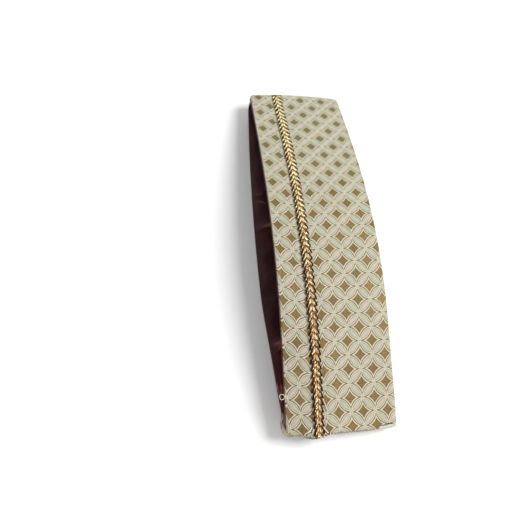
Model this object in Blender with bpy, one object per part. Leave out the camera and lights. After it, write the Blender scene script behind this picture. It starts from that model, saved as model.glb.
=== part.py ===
"""Wedding cap: a folded brocade side cap with a gold lace, lying on its side.

Two long side panels meet at both ends. Their mouth edges stand apart in a narrow lens, which is the
opening for the head, and their crown edges are joined by a gusset that is folded inwards. +Y runs
along the cap from its near end to its far end, +X from the mouth to the crown, and +Z up. The cap
rests on the flattened middle of its lower panel, at z = 0.
"""
import math

import bmesh
import bpy
from mathutils import Vector

METRES = 0.001                # one millimetre; every size below is in millimetres

# Whole cap
NEAR_LENGTH = 140.43          # from the middle to the corners of the near end, along Y
FAR_LENGTH = 141.37           # from the middle to the corners of the far end
HALF_WIDTH = 39.0             # from the middle to the mouth and crown corners, along X
PLAN_SHIFT = 1.76             # of the corners along X, so that the whole cap is centred
CORNER_MOUTH_Z = 18.0         # top of the mouth corners above the surface that the cap lies on
CORNER_CROWN_Z = 10.0         # top of the crown corners
END_THICKNESS = 5.4           # both panels together, where they meet at the ends
FAR_BULGE = 2.0               # how far the middle of the far end stands out past its corners
NEAR_BULGE = 0.5              # the same at the near end
NEAR_WAVE = 2.6               # height of the wave in the near end, beside the lace
NEAR_WAVE_AT = 22.0           # its distance from the mouth edge
NEAR_WAVE_HALF_WIDTH = 13.0
BULGE_POWER = 8               # how closely the ends' bow keeps to the ends: a power of the share t
WAVE_POWER = 16               # the same for the near end's wave
ROUNDING_POWER = 40           # the same for the round corners
CORNER_RADIUS = 2.5           # plan radius of the far end's corners
NEAR_MOUTH_RADIUS = 4.5       # plan radius of the near end's mouth corners
NEAR_CROWN_RADIUS = 1.5       # plan radius of the near end's crown corners
GAP = 0.3                     # between pieces that touch

# Arch of the upper panel
ARCH_MOUTH = 24.0             # rise of its mouth edge in the middle
ARCH_CROWN = 30.0             # rise of its crown edge in the middle
ARCH_SKEW = 0.06              # moves the top of the arch towards the near end
UPPER_LEAN = 2.3              # sideways shift of the upper panel's middle, towards the crown

# Lower panel
FLAT_SHARE = 0.45             # share of the half length that lies flat
LOWER_OFFSET = 1.4            # how far the lower panel's ends stand out past the upper ones, at the mouth
LOWER_LEAN = 4.4              # further sideways shift of its middle, towards the mouth
NEAR_FLARE = 2.6              # how far its mouth corner flares out at the near end
NEAR_FLARE_SHARE = 0.14       # share of the half length over which it flares
FAR_TUCK = 1.4                # how far its mouth corner is tucked back at the far end, under the upper one
FAR_TUCK_SHARE = 0.07         # share of the half length over which it is tucked back
NEAR_DRAW = 2.0               # how far its mouth edge is drawn in, in the near half
NEAR_DRAW_START = 0.22        # share of the half length where the drawing in begins
NEAR_DRAW_SHARE = 0.44        # share of the half length over which it grows

# Crown corners of both panels
CROWN_FLARE = 1.8             # how far they flare out at the near end
CROWN_FLARE_SHARE = 0.42      # share of the half length over which they flare

# Cloth
BROCADE = 1.2                 # brocade with its stiffener
LINING = 1.0
TURNED_EDGE = 2.4             # brocade where it is turned in and lies double
LINING_FROM_MOUTH = 0.5       # the linings reach almost to the mouth edges
END_HEM = 7.0                 # width of the turned edge at the ends
CROWN_HEM = 3.0               # width of the turned edge along the crown seam
HEM_STEP = 0.4                # width of the step from double to single cloth
EDGE_DRAW = 0.75              # share of half its thickness by which a round edge is drawn in at its rim

# Gold lace
LACE_FROM_MOUTH = 22.8        # from the mouth edge to the middle of the lace
LACE_WIDTH = 7.4
LACE_THICKNESS = 1.1
LACE_FLAT_SHARE = 0.6         # share of its width that has the full thickness
LACE_EDGE_SHARE = 0.5         # share of the thickness that its edges have
LACE_END_SETBACK = 0.8        # of the lace's ends from the end seams
SEAT_SLOPE = 1.5              # width of each side of the shallow seat pressed into the lower panel
SEAT_FULL_SHARE = 0.62        # the seat has its full depth up to this share of the half length
SEAT_END_SHARE = 0.80         # and is gone from here on

# Crown gusset
GUSSET_ARM = 42.0             # half the gusset's width, in the middle of the cap
GUSSET_END_SHARE = 0.92       # the gusset's points are at this share of the half length
GUSSET_LEVEL = 0.5            # 0 folds it square to its seams, 1 folds it level
CROWN_LINING_END_SHARE = 0.78
FOLD_RADIUS = 1.3             # of the gusset's inward fold, at mid thickness
SEAM_SETBACK = 0.6            # of the gusset's long edges from the panels' crown edges

# Mesh steps
EDGE_STEPS = [0.0, 0.35, 1.2]   # distances in from a turned edge, which round it
CORNER_STEPS = [2.0, 5.0]     # further distances in from the mouth edge, which round the corners
LENGTH_STEPS = 34
FIELD_STEPS = 4
FOLD_STEPS = 4
NORMAL_SHARE = 0.002          # step of t, and step across in millimetres, that the normals are taken over
NORMAL_ACROSS = 1.0
SMOOTH_ANGLE = 35.0           # in degrees; sharper edges stay sharp in the shading

UPPER = 1.0
LOWER = -1.0

COLOURS = {
    "cream_brocade": ((0.60, 0.59, 0.46, 1.0), 0.60, 0.0),
    "maroon_lining": ((0.035, 0.010, 0.014, 1.0), 0.45, 0.0),
    "gold_lace": ((0.78, 0.50, 0.17, 1.0), 0.35, 0.7),
}


def smooth_step(value):
    """0 below 0, 1 above 1 and a smooth rise between them."""
    value = min(max(value, 0.0), 1.0)
    return value * value * (3.0 - 2.0 * value)


def arch(t):
    """Arch of the cap along its length: 0 at the ends and 1 near the middle."""
    return math.cos(0.5 * math.pi * (t + ARCH_SKEW * (1.0 - t * t)))


def lift(t):
    """How far the lower panel has risen: 0 where it lies flat and 1 at the ends."""
    return (max(abs(t) - FLAT_SHARE, 0.0) / (1.0 - FLAT_SHARE)) ** 2


def section_edges(side, t):
    """Mouth edge and crown edge of a panel's outer face, as (x, z)."""
    if side == UPPER:
        middle = PLAN_SHIFT + UPPER_LEAN * arch(t)
        mouth_z = CORNER_MOUTH_Z + ARCH_MOUTH * arch(t)
        crown_z = CORNER_CROWN_Z + ARCH_CROWN * arch(t)
        flare = 0.0
    else:
        middle = PLAN_SHIFT - LOWER_OFFSET - LOWER_LEAN * arch(t)
        mouth_z = (CORNER_MOUTH_Z - END_THICKNESS) * lift(t)
        crown_z = (CORNER_CROWN_Z - END_THICKNESS) * lift(t)
        flare = NEAR_FLARE * smooth_step((-t - 1.0 + NEAR_FLARE_SHARE) / NEAR_FLARE_SHARE)
        flare -= FAR_TUCK * smooth_step((t - 1.0 + FAR_TUCK_SHARE) / FAR_TUCK_SHARE)
        flare -= NEAR_DRAW * smooth_step((-t - NEAR_DRAW_START) / NEAR_DRAW_SHARE)
    crown_flare = CROWN_FLARE * smooth_step((-t - 1.0 + CROWN_FLARE_SHARE) / CROWN_FLARE_SHARE)
    return (middle - HALF_WIDTH - flare, mouth_z), (middle + HALF_WIDTH + crown_flare, crown_z)


def panel_width(side, t):
    mouth, crown = section_edges(side, t)
    return math.hypot(crown[0] - mouth[0], crown[1] - mouth[1])


def corner_radius(t, u, width):
    """Plan radius of the corner that is nearest to a place."""
    if t > 0.0:
        return CORNER_RADIUS
    return NEAR_MOUTH_RADIUS if u < 0.5 * width else NEAR_CROWN_RADIUS


def end_shift(t, u, width):
    """Shift along Y that rounds the corners, bows the ends outwards and waves the near one."""
    radius = corner_radius(t, u, width)
    from_corner = min(u, width - u, radius)
    rounding = radius - math.sqrt(max(radius ** 2 - (radius - from_corner) ** 2, 0.0))
    rounding *= t ** ROUNDING_POWER
    bow = (1.0 - (2.0 * u / width - 1.0) ** 2) * t ** BULGE_POWER
    if t > 0.0:
        return FAR_BULGE * bow - rounding
    wave = NEAR_WAVE * smooth_step(1.0 - abs(u - NEAR_WAVE_AT) / NEAR_WAVE_HALF_WIDTH)
    return rounding - NEAR_BULGE * bow - wave * t ** WAVE_POWER


def along(t):
    """Place along Y of a share of the half length."""
    return t * (FAR_LENGTH if t > 0.0 else NEAR_LENGTH)


def outer_point(side, t, u):
    """Point of a panel's outer face, u millimetres in from its mouth edge."""
    mouth, crown = section_edges(side, t)
    width = panel_width(side, t)
    share = u / width
    x = mouth[0] + (crown[0] - mouth[0]) * share
    z = mouth[1] + (crown[1] - mouth[1]) * share
    return Vector((x, along(t) + end_shift(t, u, width), z))


def inward(side, t, u):
    """Unit normal of a panel, pointing into the cap."""
    ahead = outer_point(side, min(t + NORMAL_SHARE, 1.0), u)
    lengthways = ahead - outer_point(side, max(t - NORMAL_SHARE, -1.0), u)
    middle = 0.5 * panel_width(side, t)
    across = outer_point(side, t, middle + NORMAL_ACROSS) - outer_point(side, t, middle - NORMAL_ACROSS)
    lengthways.x = 0.0
    across.y = 0.0
    return (lengthways.cross(across) * side).normalized()


def point_at_depth(side, t, u, depth):
    """Point under the outer face: a positive depth is inside the cap, a negative one outside."""
    return outer_point(side, t, u) + inward(side, t, u) * depth


def seat_depth(side, t, u):
    """Depth of the seat that the lace presses into the lower panel where the cap rests on it."""
    if side == UPPER:
        return 0.0
    lengthways = 1.0 - smooth_step((abs(t) - SEAT_FULL_SHARE) / (SEAT_END_SHARE - SEAT_FULL_SHARE))
    half = 0.5 * LACE_WIDTH + GAP
    across = 1.0 - (abs(u - LACE_FROM_MOUTH) - half) / SEAT_SLOPE
    return (LACE_THICKNESS + GAP) * lengthways * min(max(across, 0.0), 1.0)


def seat_columns(side):
    """Places across a panel where the lace's seat begins and ends."""
    if side == UPPER:
        return []
    half = 0.5 * LACE_WIDTH + GAP
    return [LACE_FROM_MOUTH + offset for offset in (-half - SEAT_SLOPE, -half, half, half + SEAT_SLOPE)]


def field_columns(side, start, end):
    """Places across a panel between two edges, the seat's among them."""
    seats = seat_columns(side)
    first = seats[-1] if seats else start
    even = [first + (end - first) * step / FIELD_STEPS for step in range(1, FIELD_STEPS)]
    return [start] + seats + even + [end]


def edge_squeeze(distance, thickness):
    """How far a round edge has drawn in, for a distance in from that edge."""
    radius = 0.5 * thickness
    inside = min(max(distance, 0.0), radius)
    full = radius - math.sqrt(radius ** 2 - (radius - inside) ** 2)
    return min(full, EDGE_DRAW * radius)


def length_shares(end_share, hems):
    """Stations along the cap from -end_share to end_share, close together at turned edges."""
    close = EDGE_STEPS + [END_HEM, END_HEM + HEM_STEP] if hems else [0.0]
    near = [distance / NEAR_LENGTH - end_share for distance in close]
    far = [end_share - distance / FAR_LENGTH for distance in reversed(close)]
    middle = [near[-1] + (far[0] - near[-1]) * step / LENGTH_STEPS for step in range(1, LENGTH_STEPS)]
    return near + middle + far


def panel_rows(side):
    """Face and back points of a side panel, with its edges turned in."""
    rows = []
    for t in length_shares(1.0, True):
        width = panel_width(side, t)
        from_end = abs(along(1.0 if t > 0.0 else -1.0) - along(t))
        columns = [0.5 * step for step in EDGE_STEPS] + CORNER_STEPS[:-1]
        columns += field_columns(side, CORNER_STEPS[-1], width - CROWN_HEM - HEM_STEP)
        columns += [width - CROWN_HEM] + [width - step for step in reversed(EDGE_STEPS)]
        row = []
        for u in columns:
            single = u < width - CROWN_HEM - 0.5 * HEM_STEP and from_end > END_HEM + 0.5 * HEM_STEP
            thickness = BROCADE if single else TURNED_EDGE
            squeeze = max(edge_squeeze(distance, thickness) for distance in (u, width - u, from_end))
            seat = seat_depth(side, t, u)
            face = point_at_depth(side, t, u, seat + squeeze)
            back = point_at_depth(side, t, u, seat + thickness - squeeze)
            row.append((face, back))
        rows.append(row)
    return rows


def side_lining_rows(side):
    """Face and back points of a side lining, which lies inside the panel's turned edges."""
    rows = []
    end_share = 1.0 - (END_HEM + HEM_STEP + GAP) / NEAR_LENGTH
    for t in length_shares(end_share, False):
        end = panel_width(side, t) - CROWN_HEM - HEM_STEP - GAP
        row = []
        for u in field_columns(side, LINING_FROM_MOUTH, end):
            depth = seat_depth(side, t, u) + BROCADE + GAP
            row.append((point_at_depth(side, t, u, depth), point_at_depth(side, t, u, depth + LINING)))
        rows.append(row)
    return rows


def lace_rows(side):
    """Face and back points of a lace, a flat braid with thin edges."""
    rows = []
    half = 0.5 * LACE_WIDTH
    edge = LACE_EDGE_SHARE * LACE_THICKNESS
    outline = [(-half, edge), (-LACE_FLAT_SHARE * half, LACE_THICKNESS),
               (LACE_FLAT_SHARE * half, LACE_THICKNESS), (half, edge)]
    for t in length_shares(1.0 - LACE_END_SETBACK / NEAR_LENGTH, False):
        base = seat_depth(side, t, LACE_FROM_MOUTH) - GAP
        row = []
        for offset, thickness in outline:
            u = LACE_FROM_MOUTH + offset
            row.append((point_at_depth(side, t, u, base - thickness), point_at_depth(side, t, u, base)))
        rows.append(row)
    return rows


def gusset_arm(t):
    """Length of each arm of the folded gusset: it is a pointed oval, folded along its middle."""
    return GUSSET_ARM * (1.0 - t * t)


def gusset_corners(t):
    """Upper seam, fold and lower seam of the gusset at mid thickness, as points of one section."""
    depth = TURNED_EDGE + GAP + 0.5 * BROCADE
    seams = [point_at_depth(side, t, panel_width(side, t) - SEAM_SETBACK, depth) for side in (UPPER, LOWER)]
    for seam in seams:
        seam.y = along(t)
    span = seams[1] - seams[0]
    reach = math.sqrt(gusset_arm(t) ** 2 - 0.25 * span.length_squared)
    square = Vector((span.z, 0.0, -span.x)).normalized()
    towards_mouth = square.lerp(Vector((-1.0, 0.0, 0.0)), GUSSET_LEVEL).normalized()
    fold = 0.5 * (seams[0] + seams[1]) + towards_mouth * reach
    return seams[0], fold, seams[1]


def seam_opening(t):
    """Sine of the smaller of the two angles between the gusset's arms and the side panels."""
    upper_seam, fold, lower_seam = gusset_corners(t)
    sines = []
    for side, seam in ((UPPER, upper_seam), (LOWER, lower_seam)):
        mouth, crown = section_edges(side, t)
        panel_way = Vector((mouth[0] - crown[0], 0.0, mouth[1] - crown[1])).normalized()
        sines.append(panel_way.cross((fold - seam).normalized()).length)
    return min(sines)


def folded_row(t, offset, thickness, setback):
    """Face and back points of a sheet folded like the gusset, at an offset towards the mouth."""
    upper_seam, fold, lower_seam = gusset_corners(t)
    upper_way = (upper_seam - fold).normalized()
    lower_way = (lower_seam - fold).normalized()
    half_angle = 0.5 * upper_way.angle(lower_way)
    centre = fold + (upper_way + lower_way).normalized() * (FOLD_RADIUS / math.sin(half_angle))
    upper_out = Vector((-upper_way.z, 0.0, upper_way.x))
    lower_out = Vector((lower_way.z, 0.0, -lower_way.x))
    upper_start = upper_seam - upper_way * setback
    lower_start = lower_seam - lower_way * setback
    spine = [(upper_start, upper_out)]
    turn = math.pi - 2.0 * half_angle
    for step in range(FOLD_STEPS + 1):
        angle = -turn * step / FOLD_STEPS
        out = Vector((upper_out.x * math.cos(angle) + upper_out.z * math.sin(angle), 0.0,
                      upper_out.z * math.cos(angle) - upper_out.x * math.sin(angle)))
        spine.append((centre + out * FOLD_RADIUS, out))
    spine.append((lower_start, lower_out))
    inner = offset - 0.5 * thickness
    outer = offset + 0.5 * thickness
    return [(point + out * outer, point + out * inner) for point, out in spine]


def gusset_rows():
    return [folded_row(t, 0.0, BROCADE, 0.0) for t in length_shares(GUSSET_END_SHARE, False)]


def crown_lining_rows():
    """The crown lining covers the gusset's inner side and stops where the seams close in."""
    offset = 0.5 * BROCADE + GAP + 0.5 * LINING
    rows = []
    for t in length_shares(CROWN_LINING_END_SHARE, False):
        setback = (offset + 0.5 * LINING + 2.0 * GAP) / seam_opening(t)
        rows.append(folded_row(t, offset, LINING, setback))
    return rows


def make_material(name):
    colour, roughness, metallic = COLOURS[name]
    material = bpy.data.materials.new(name)
    material.use_nodes = True
    shader = material.node_tree.nodes["Principled BSDF"]
    shader.inputs["Base Color"].default_value = colour
    shader.inputs["Roughness"].default_value = roughness
    shader.inputs["Metallic"].default_value = metallic
    material.diffuse_color = colour
    return material


def sheet_solid(name, rows, colour_name):
    """One closed solid from rows of (face point, back point) pairs."""
    mesh_data = bmesh.new()
    grid = [[[mesh_data.verts.new(point * METRES) for point in pair] for pair in row] for row in rows]
    last = len(grid[0]) - 1
    for this, following in zip(grid, grid[1:]):
        for k in range(last):
            for layer in (0, 1):
                mesh_data.faces.new((this[k][layer], this[k + 1][layer],
                                     following[k + 1][layer], following[k][layer]))
        for k in (0, last):
            mesh_data.faces.new((this[k][0], following[k][0], following[k][1], this[k][1]))
    for row in (grid[0], grid[-1]):
        for k in range(last):
            mesh_data.faces.new((row[k][0], row[k + 1][0], row[k + 1][1], row[k][1]))
    bmesh.ops.recalc_face_normals(mesh_data, faces=mesh_data.faces[:])
    mesh = bpy.data.meshes.new(name)
    mesh_data.to_mesh(mesh)
    mesh_data.free()
    mesh.shade_smooth()
    mesh.set_sharp_from_angle(angle=math.radians(SMOOTH_ANGLE))
    mesh.materials.append(make_material(colour_name))
    piece = bpy.data.objects.new(name, mesh)
    bpy.context.scene.collection.objects.link(piece)
    return piece


def build():
    for old in list(bpy.data.objects):
        bpy.data.objects.remove(old, do_unlink=True)
    for word, side in (("upper", UPPER), ("lower", LOWER)):
        sheet_solid(word + "_side_panel", panel_rows(side), "cream_brocade")
        sheet_solid(word + "_side_lining", side_lining_rows(side), "maroon_lining")
        sheet_solid(word + "_lace", lace_rows(side), "gold_lace")
    sheet_solid("crown_gusset", gusset_rows(), "cream_brocade")
    sheet_solid("crown_lining", crown_lining_rows(), "maroon_lining")


build()
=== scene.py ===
"""Looks of the wedding cap: woven brocade, satin linings, plaited gold laces and hand stitches.

Lengths are in millimetres and become metres where a mesh is made. A place on a side panel is given by
t, a share of the half length from -1 at the near end to 1 at the far end, and u, the distance in from
the panel's mouth edge. Depth is measured under the panel's outer face, into the cap.
"""

import math

import bpy
import numpy as np
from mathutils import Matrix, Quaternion, Vector


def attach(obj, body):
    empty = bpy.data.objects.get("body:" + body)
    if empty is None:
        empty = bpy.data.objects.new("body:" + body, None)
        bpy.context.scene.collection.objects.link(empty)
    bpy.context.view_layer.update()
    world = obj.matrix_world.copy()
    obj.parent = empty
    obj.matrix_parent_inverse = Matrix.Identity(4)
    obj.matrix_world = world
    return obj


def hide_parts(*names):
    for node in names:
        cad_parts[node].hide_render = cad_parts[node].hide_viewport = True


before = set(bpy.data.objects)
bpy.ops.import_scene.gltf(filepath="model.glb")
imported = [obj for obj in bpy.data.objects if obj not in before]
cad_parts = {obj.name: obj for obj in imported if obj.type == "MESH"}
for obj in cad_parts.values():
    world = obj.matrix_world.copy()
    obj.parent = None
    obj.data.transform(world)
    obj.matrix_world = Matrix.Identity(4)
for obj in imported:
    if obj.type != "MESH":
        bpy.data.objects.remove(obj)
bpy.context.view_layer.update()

MM = 0.001
UPPER = 1.0
LOWER = -1.0

# Whole cap, as the solids have it
NEAR_LENGTH = 140.43
FAR_LENGTH = 141.37
HALF_WIDTH = 39.0
PLAN_SHIFT = 1.76
CORNER_MOUTH_Z = 18.0
CORNER_CROWN_Z = 10.0
END_THICKNESS = 5.4
FAR_BULGE = 2.0
NEAR_BULGE = 0.5
NEAR_WAVE = 2.6
NEAR_WAVE_AT = 22.0
NEAR_WAVE_HALF_WIDTH = 13.0
CORNER_RADIUS = 2.5
NEAR_MOUTH_RADIUS = 4.5
NEAR_CROWN_RADIUS = 1.5
BULGE_POWER = 8
WAVE_POWER = 16
ROUNDING_POWER = 40
GAP = 0.3
ARCH_MOUTH = 24.0
ARCH_CROWN = 30.0
ARCH_SKEW = 0.06
UPPER_LEAN = 2.3
FLAT_SHARE = 0.45
LOWER_OFFSET = 1.4
LOWER_LEAN = 4.4
NEAR_FLARE = 2.6
NEAR_FLARE_SHARE = 0.14
FAR_TUCK = 1.4
FAR_TUCK_SHARE = 0.07
NEAR_DRAW = 2.0
NEAR_DRAW_START = 0.22
NEAR_DRAW_SHARE = 0.44
CROWN_FLARE = 1.8
CROWN_FLARE_SHARE = 0.42

# Cloth
BROCADE = 1.2
LINING = 1.0
TURNED_EDGE = 2.4
END_HEM = 7.0
CROWN_HEM = 3.0
HEM_STEP = 0.4
LACE_FROM_MOUTH = 22.8
LACE_WIDTH = 7.4
LACE_THICKNESS = 1.1
LACE_END_SETBACK = 0.8
SEAT_SLOPE = 1.5
SEAT_FULL_SHARE = 0.62
SEAT_END_SHARE = 0.80
GUSSET_ARM = 42.0
GUSSET_END_SHARE = 0.92
GUSSET_LEVEL = 0.5
CROWN_LINING_END_SHARE = 0.78
FOLD_RADIUS = 1.3
SEAM_SETBACK = 0.6

# Brocade pattern: a lattice of overlapping circles, counted in half pitches
ACROSS_PITCH = 8.95
ALONG_PITCH = 9.65
MOUTH_COLUMN = -4.48          # lattice column at the mouth edge, in the middle of the cap
COLUMN_DRIFT = 0.33           # how far the columns drift from the middle to the far end
NEAR_ROW = -1.40              # lattice row at the near end
ROW_SWELL = 0.058             # how far the rows bunch between the middle and the ends
ROW_SKEW = 0.055              # how far the rows slant across each half of the panel
COLUMN_WANDER = (-0.09, -0.17, 0.60, 0.21, -0.64)   # shift of the columns, by powers of t
COLUMN_SKEW = 0.07            # how far the columns draw together, more at the far end

# Mesh steps
CLOTH_STEP = 1.15             # between the points of a brocade sheet
GUSSET_STEP = 1.6
LINING_STEP = 1.6
FACE_CLEAR = 0.03             # least height of the underside above the surface the cap lies on


def srgb(red, green, blue):
    """Linear colour of an 8-bit sRGB one."""
    return tuple(((value / 255 + 0.055) / 1.055) ** 2.4 for value in (red, green, blue)) + (1.0,)


def named_rows(columns, table):
    """Rows of a table, with a name for each column."""
    return [dict(zip(columns, row)) for row in table]


def unit(vectors):
    return vectors / np.linalg.norm(vectors, axis=-1, keepdims=True)


# Surfaces

def smooth_step(value):
    value = np.clip(value, 0.0, 1.0)
    return value * value * (3.0 - 2.0 * value)


def arch(t):
    return np.cos(0.5 * np.pi * (t + ARCH_SKEW * (1.0 - t * t)))


def lift(t):
    return (np.maximum(np.abs(t) - FLAT_SHARE, 0.0) / (1.0 - FLAT_SHARE)) ** 2


def section_edges(side, t):
    """Mouth x, mouth z, crown x and crown z of a panel's outer face."""
    if side == UPPER:
        middle = PLAN_SHIFT + UPPER_LEAN * arch(t)
        mouth_z = CORNER_MOUTH_Z + ARCH_MOUTH * arch(t)
        crown_z = CORNER_CROWN_Z + ARCH_CROWN * arch(t)
        flare = 0.0
    else:
        middle = PLAN_SHIFT - LOWER_OFFSET - LOWER_LEAN * arch(t)
        mouth_z = (CORNER_MOUTH_Z - END_THICKNESS) * lift(t)
        crown_z = (CORNER_CROWN_Z - END_THICKNESS) * lift(t)
        flare = NEAR_FLARE * smooth_step((-t - 1.0 + NEAR_FLARE_SHARE) / NEAR_FLARE_SHARE)
        flare = flare - FAR_TUCK * smooth_step((t - 1.0 + FAR_TUCK_SHARE) / FAR_TUCK_SHARE)
        flare = flare - NEAR_DRAW * smooth_step((-t - NEAR_DRAW_START) / NEAR_DRAW_SHARE)
    crown_flare = CROWN_FLARE * smooth_step((-t - 1.0 + CROWN_FLARE_SHARE) / CROWN_FLARE_SHARE)
    return middle - HALF_WIDTH - flare, mouth_z, middle + HALF_WIDTH + crown_flare, crown_z


def panel_width(side, t):
    mouth_x, mouth_z, crown_x, crown_z = section_edges(side, t)
    return np.hypot(crown_x - mouth_x, crown_z - mouth_z)


def end_shift(t, u, width):
    """Shift along Y that rounds the corners, bows the ends and waves the near one."""
    near_radius = np.where(u < 0.5 * width, NEAR_MOUTH_RADIUS, NEAR_CROWN_RADIUS)
    radius = np.where(t > 0.0, CORNER_RADIUS, near_radius)
    from_corner = np.clip(np.minimum(u, width - u), 0.0, radius)
    rounding = radius - np.sqrt(radius ** 2 - (radius - from_corner) ** 2)
    bow = 1.0 - (2.0 * u / width - 1.0) ** 2
    wave = NEAR_WAVE * smooth_step(1.0 - np.abs(u - NEAR_WAVE_AT) / NEAR_WAVE_HALF_WIDTH)
    end = np.abs(t)
    far = end ** BULGE_POWER * FAR_BULGE * bow - end ** ROUNDING_POWER * rounding
    near = end ** ROUNDING_POWER * rounding - end ** BULGE_POWER * NEAR_BULGE * bow - end ** WAVE_POWER * wave
    return np.where(t > 0.0, far, near)


def along(t):
    return t * np.where(t > 0.0, FAR_LENGTH, NEAR_LENGTH)


def outer_point(side, t, u):
    mouth_x, mouth_z, crown_x, crown_z = section_edges(side, t)
    width = np.hypot(crown_x - mouth_x, crown_z - mouth_z)
    share = u / width
    return np.stack([mouth_x + (crown_x - mouth_x) * share, along(t) + end_shift(t, u, width),
                     mouth_z + (crown_z - mouth_z) * share], -1)


def inward(side, t, u):
    """Unit normal of a panel, pointing into the cap."""
    step = 0.002
    before = np.maximum(t - step, -1.0)
    after = np.minimum(t + step, 1.0)
    lengthways = outer_point(side, after, u) - outer_point(side, before, u)
    middle = 0.5 * panel_width(side, t)
    across = outer_point(side, t, middle + 1.0) - outer_point(side, t, middle - 1.0)
    lengthways[..., 0] = 0.0
    across[..., 1] = 0.0
    return unit(np.cross(lengthways, across) * side)


def at_depth(side, t, u, depth):
    """Point under the outer face: a positive depth is inside the cap, a negative one outside."""
    t, u, depth = np.broadcast_arrays(*(np.asarray(value, float) for value in (t, u, depth)))
    return outer_point(side, t, u) + inward(side, t, u) * depth[..., None]


def seat_depth(side, t, u):
    """Depth of the seat that the lace presses into the lower panel where the cap rests on it."""
    if side == UPPER:
        return 0.0 * (t + u)
    lengthways = 1.0 - smooth_step((np.abs(t) - SEAT_FULL_SHARE) / (SEAT_END_SHARE - SEAT_FULL_SHARE))
    half = 0.5 * LACE_WIDTH + GAP
    across = 1.0 - (np.abs(u - LACE_FROM_MOUTH) - half) / SEAT_SLOPE
    return (LACE_THICKNESS + GAP) * lengthways * np.clip(across, 0.0, 1.0)


def arc_length(points):
    """Distance along rows of points, from the first row."""
    steps = np.linalg.norm(np.diff(points, axis=0), axis=-1)
    return np.concatenate([np.zeros_like(steps[:1]), np.cumsum(steps, axis=0)])


def from_end(t):
    """Distance from the nearer end of the cap."""
    return np.where(t > 0.0, (1.0 - t) * FAR_LENGTH, (1.0 + t) * NEAR_LENGTH)


def length_share(length):
    """t at signed lengths from the middle of the cap."""
    return np.where(length > 0.0, length / FAR_LENGTH, length / NEAR_LENGTH)


def near_share(distance):
    """t at a distance from the near end."""
    return distance / NEAR_LENGTH - 1.0


def edge_squeeze(distance, thickness):
    """How far a round edge has drawn in, for a distance in from that edge."""
    radius = 0.5 * thickness
    inside = np.clip(distance, 0.0, radius)
    return np.minimum(radius - np.sqrt(radius ** 2 - (radius - inside) ** 2), 0.92 * radius)


# Brocade lattice

def petal_distance(column, row):
    """Signed distance to the nearest circle arc, in half pitches: positive in a diamond."""
    a = np.abs((column + 1.0) % 2.0 - 1.0)
    b = np.abs((row + 1.0) % 2.0 - 1.0)
    flip = (a + b > 1.0).astype(float)
    return np.hypot(1.0 - np.abs(a - flip), 1.0 - np.abs(b - flip)) - 1.0


PETAL_HALF_WIDTH = 0.293      # of two overlapping circles, in half pitches
PETAL_HEIGHT = 0.16
DIAMOND_HEIGHT = 0.07
RELIEF_MIDDLE = 0.12          # height of the figure that lies at the panel's outer face
GUSSET_RELIEF_MIDDLE = 0.16


def weave_relief(column, row):
    """Height of the woven figure: padded petals between sunk outlines, and flat diamonds."""
    distance = petal_distance(column, row)
    petal = PETAL_HEIGHT * np.sqrt(np.clip(-distance / PETAL_HALF_WIDTH, 0.0, 1.0))
    diamond = DIAMOND_HEIGHT * smooth_step((distance - 0.03) / 0.10)
    return petal + diamond


# Mesh making

def add_object(name, data):
    made = bpy.data.objects.new(name, data)
    bpy.context.scene.collection.objects.link(made)
    return made


def grid_faces(index):
    """Faces between the rows and columns of a grid of point numbers."""
    return np.stack([index[:-1, :-1], index[:-1, 1:], index[1:, 1:], index[1:, :-1]], -1).reshape(-1, 4)


def new_object(name, points, faces, material, layers, smooth_angle=60.0):
    """A mesh object in metres from points in millimetres, with named vector layers for its material."""
    mesh = bpy.data.meshes.new(name)
    mesh.from_pydata((np.asarray(points) * MM).tolist(), [], faces)
    for layer, values in layers.items():
        attribute = mesh.attributes.new(layer, "FLOAT_VECTOR", "POINT")
        attribute.data.foreach_set("vector", np.asarray(values, np.float32).ravel())
    mesh.validate()
    mesh.shade_smooth()
    mesh.set_sharp_from_angle(angle=math.radians(smooth_angle))
    mesh.materials.append(material)
    return add_object(name, mesh)


def sheet_object(name, face, back, cloth, material):
    """One closed sheet from two grids of points, with cloth coordinates that both share."""
    rows, columns = face.shape[:2]
    count = rows * columns
    index = np.arange(count).reshape(rows, columns)
    quads = grid_faces(index)
    rim = np.concatenate([index[0, :], index[1:, -1], index[-1, -2::-1], index[-2:0:-1, 0]])
    after = np.roll(rim, -1)
    sides = np.stack([after, rim, rim + count, after + count], -1)
    faces = np.concatenate([quads, quads[:, ::-1] + count, sides])
    points = np.concatenate([face.reshape(-1, 3), back.reshape(-1, 3)])
    middle = quads[len(quads) // 2]
    a, b, c = points[middle[:3]]
    outwards = a - points[middle[0] + count]
    if np.cross(b - a, c - a) @ outwards < 0.0:
        faces = faces[:, ::-1]
    layer = np.concatenate([cloth.reshape(-1, 3)] * 2)
    return new_object(name, points, faces.tolist(), material, {"cloth": layer})


GOLDEN_SHARE = 0.618034        # spreads the serial numbers of a pile's strands between 0 and 1


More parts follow.
